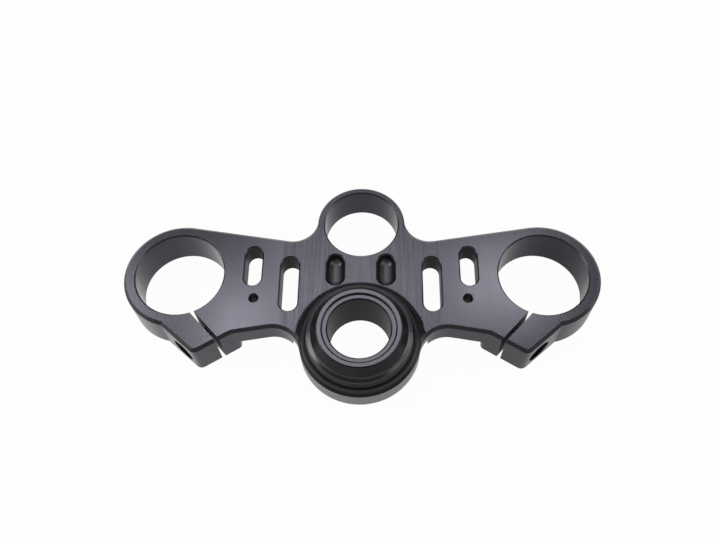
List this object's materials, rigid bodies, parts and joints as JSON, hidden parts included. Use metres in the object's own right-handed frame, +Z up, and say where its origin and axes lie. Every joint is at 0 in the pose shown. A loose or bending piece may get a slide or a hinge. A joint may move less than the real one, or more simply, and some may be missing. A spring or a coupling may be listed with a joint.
{
  "type": "motorcycle triple clamp",
  "caption": "Upper triple clamp: milled plate with split fork clamps at its ends, a raised conical boss for the steering stem, a ring for the ignition lock and lightening slots.",
  "frame": {"origin": "on the steering stem's axis, in the face that seats on the stem", "axes": "+Z up along the stem, +Y ahead to the ignition lock, +X to the rider's right fork tube"},
  "size_m": [0.2676, 0.1322, 0.0427],
  "materials": {
    "anodised": "black anodised over milled and turned faces"
  },
  "bodies": {
    "root": {"top_clamp": "anodised"}
  },
  "joints": []
}
